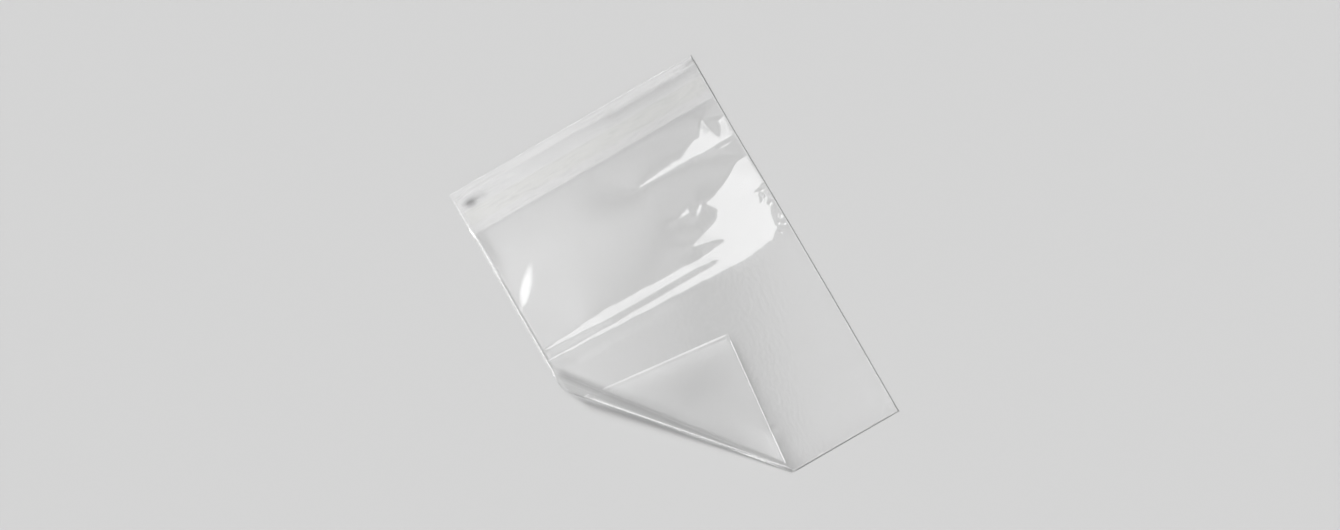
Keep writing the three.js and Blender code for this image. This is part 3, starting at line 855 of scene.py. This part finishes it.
# Adhesive strip: a band of clear pressure-sensitive adhesive, coated on the inside of the flap near its free
# edge. It holds the flap to the front panel, and shows only as a faint mottled band.
TACK_TINT, TACK_CLEAR = (0.88, 0.88, 0.875, 1), (0.995, 0.995, 0.99, 1)
MOTTLE_SCALE, MOTTLE_DETAIL = 260, 3
WET_MOTTLE, WET_RANGE = (0.35, 0.65), (0.006, 0.016)
DULL_MOTTLE, DULL_RANGE, DULL_SCUFF = (0.3, 0.7), (0.35, 0.6), 0.15
clear_adhesive = bpy.data.materials.new("clear_adhesive_tack")
clear_adhesive.use_nodes = True
tree = clear_adhesive.node_tree
tack = tree.nodes["Principled BSDF"]
tack.inputs["Base Color"].default_value = TACK_TINT
mottle_noise = add_node(tree, "ShaderNodeTexNoise", add_node(tree, "ShaderNodeTexCoord").outputs["Object"])
mottle_noise.inputs["Scale"].default_value = MOTTLE_SCALE
mottle_noise.inputs["Detail"].default_value = MOTTLE_DETAIL
mottle = mottle_noise.outputs["Fac"]
wet = spread(tree, mottle, *WET_MOTTLE, *WET_RANGE)
dull = spread(tree, mottle, *DULL_MOTTLE, *DULL_RANGE)
tack_scuff = add_ripple(tree, tack, scale=420, strength=0.6, distance=0.05)
dull = combine(tree, "MULTIPLY_ADD", tack_scuff, DULL_SCUFF, dull)
tree.links.new(dull, tack.inputs["Roughness"])
through = add_node(tree, "ShaderNodeBsdfTransparent", TACK_CLEAR).outputs[0]
strip_mix = add_node(tree, "ShaderNodeMixShader", wet, through, tack.outputs[0]).outputs[0]
tree.links.new(strip_mix, tree.nodes["Material Output"].inputs["Surface"])
strip = bpy.data.objects["adhesive_strip"]
for strip_slot in strip.material_slots:
    strip_slot.material = clear_adhesive

# Pale floor: one wide even sheet of matt paper, spread a hair below the bag so that the film lies on it
# without touching. It is no part of the bag.
FLOOR_HALF, FLOOR_GAP = 20000.0, 0.1
PAPER_GREY = (0.481, 0.481, 0.481, 1)
floor_corners = FLOOR_HALF * MM * np.array([(-1, -1, 0), (1, -1, 0), (1, 1, 0), (-1, 1, 0)])
floor_mesh = bpy.data.meshes.new("floor")
floor_mesh.from_pydata(floor_corners, [], [(0, 1, 2, 3)])
floor = bpy.data.objects.new("floor", floor_mesh)
floor.location.z = -FLOOR_GAP * MM
bpy.context.scene.collection.objects.link(floor)
pale_paper = bpy.data.materials.new("pale_paper")
pale_paper.use_nodes = True
paper = pale_paper.node_tree.nodes["Principled BSDF"]
paper.inputs["Base Color"].default_value = PAPER_GREY
paper.inputs["Roughness"].default_value = 1
paper.inputs["Specular IOR Level"].default_value = 0
floor_mesh.materials.append(pale_paper)

# Studio light: a dim dome with wide banks of light on its left, right and upper side, a sharp softbox for
# the facets on the right and one for the facet on the left, two round glows, and a low light all round.
DOME_LOW, DOME_RISE, LEAST_HEIGHT = 0.14, 0.225, 0.02
world = bpy.data.worlds.new("studio")
world.use_nodes = True
bpy.context.scene.world = world
tree = world.node_tree
direction = add_node(tree, "ShaderNodeTexCoord").outputs["Generated"]
height = add_node(tree, "ShaderNodeSeparateXYZ", direction).outputs["Z"]
height = combine(tree, "MAXIMUM", height, LEAST_HEIGHT)


def towards(bearing, elevation):
    """Direction at a bearing, from the picture's right towards its top, and an elevation, in degrees."""
    bearing, elevation = math.radians(bearing), math.radians(elevation)
    level = math.cos(bearing) * image_right + math.sin(bearing) * image_up
    return (*(math.cos(elevation) * level), math.sin(elevation))


def facing_to(axis):
    """How far a direction in the sky points along an axis."""
    return add_node(tree, "ShaderNodeVectorMath", direction, axis, operation="DOT_PRODUCT").outputs["Value"]


def lean_of(axis):
    """How far a direction leans from the zenith along a level axis."""
    return combine(tree, "DIVIDE", facing_to((*axis, 0)), height)


def product(*values):
    """Product of values."""
    result = values[0]
    for value in values[1:]:
        result = combine(tree, "MULTIPLY", result, value)
    return result


def window(lean, low, high, soft):
    """One between two leans, fading to nothing at both."""
    rise = spread(tree, lean, low - soft, low + soft, 0.0, 1.0, interpolation_type="SMOOTHSTEP")
    fall = spread(tree, lean, high - soft, high + soft, 1.0, 0.0, interpolation_type="SMOOTHSTEP")
    return product(rise, fall)


def bank(lean, start, full, strength, least=0.0):
    """A wide bank of light that comes up from one lean to another."""
    return spread(tree, lean, start, full, least, strength)


def softbox(axis, low, high, half, soft, strength):
    """A rectangular light that facets of such a lean mirror, by twice their own lean."""
    out = window(lean_of(axis), 2 * low, 2 * high, soft)
    across = window(lean_of((-axis[1], axis[0])), -2 * half, 2 * half, soft)
    return product(out, across, strength)


def glow(axis, tightness, strength):
    """A round soft glow in the sky."""
    near = combine(tree, "MAXIMUM", facing_to(axis), 0.0)
    near = combine(tree, "POWER", near, tightness)
    return product(near, strength)


across_view, up_view, across_bag = lean_of(image_right), lean_of(image_up), lean_of(level_axis)
lamps = (
    # low light all round, apart from one side
    product(
        window(height, low=-0.3, high=0.45, soft=0.1),
        bank(facing_to(towards(bearing=70, elevation=0)), start=0.95, full=0.8, strength=0.27),
    ),
    # left bank, which comes up in two steps
    product(
        combine(
            tree, "ADD",
            bank(across_bag, start=0.006, full=-0.002, strength=0.42),
            bank(across_bag, start=-0.002, full=-0.035, strength=1.1),
        ),
        window(up_view, low=-0.25, high=0.45, soft=0.06),
        window(across_view, low=-0.5, high=1.0, soft=0.15),
    ),
    # right bank
    product(
        bank(across_bag, start=0.004, full=0.016, strength=0.85),
        window(across_view, low=-0.1, high=0.1, soft=0.03),
        window(up_view, low=-0.08, high=0.05, soft=0.025),
    ),
    # upper bank
    product(
        bank(up_view, start=0.08, full=0.27, strength=1.6, least=0.2),
        window(across_view, low=0.17, high=0.45, soft=0.04),
        window(up_view, low=-1.0, high=0.42, soft=0.05),
    ),
    softbox(**RIGHT_LEAN, soft=0.006, strength=3.2),
    softbox(**LEFT_LEAN, soft=0.05, strength=4.8),
    glow(towards(bearing=122, elevation=57), tightness=60.0, strength=28.0),
    glow(towards(bearing=252, elevation=14), tightness=10.0, strength=2.1),
)
light = combine(tree, "MULTIPLY_ADD", product(height, height), DOME_RISE, DOME_LOW)
for lamp in lamps:
    light = combine(tree, "ADD", light, lamp)
sky = tree.nodes["Background"]
sky.inputs["Color"].default_value = (1, 1, 1, 1)
tree.links.new(light, sky.inputs["Strength"])

# Light passes through every layer of the film and the roll, and is shown as it is
scene = bpy.context.scene
scene.view_settings.view_transform = "Standard"
scene.cycles.transparent_max_bounces = 48
scene.cycles.glossy_bounces = 12
scene.cycles.max_bounces = 16
scene.cycles.use_denoising = True
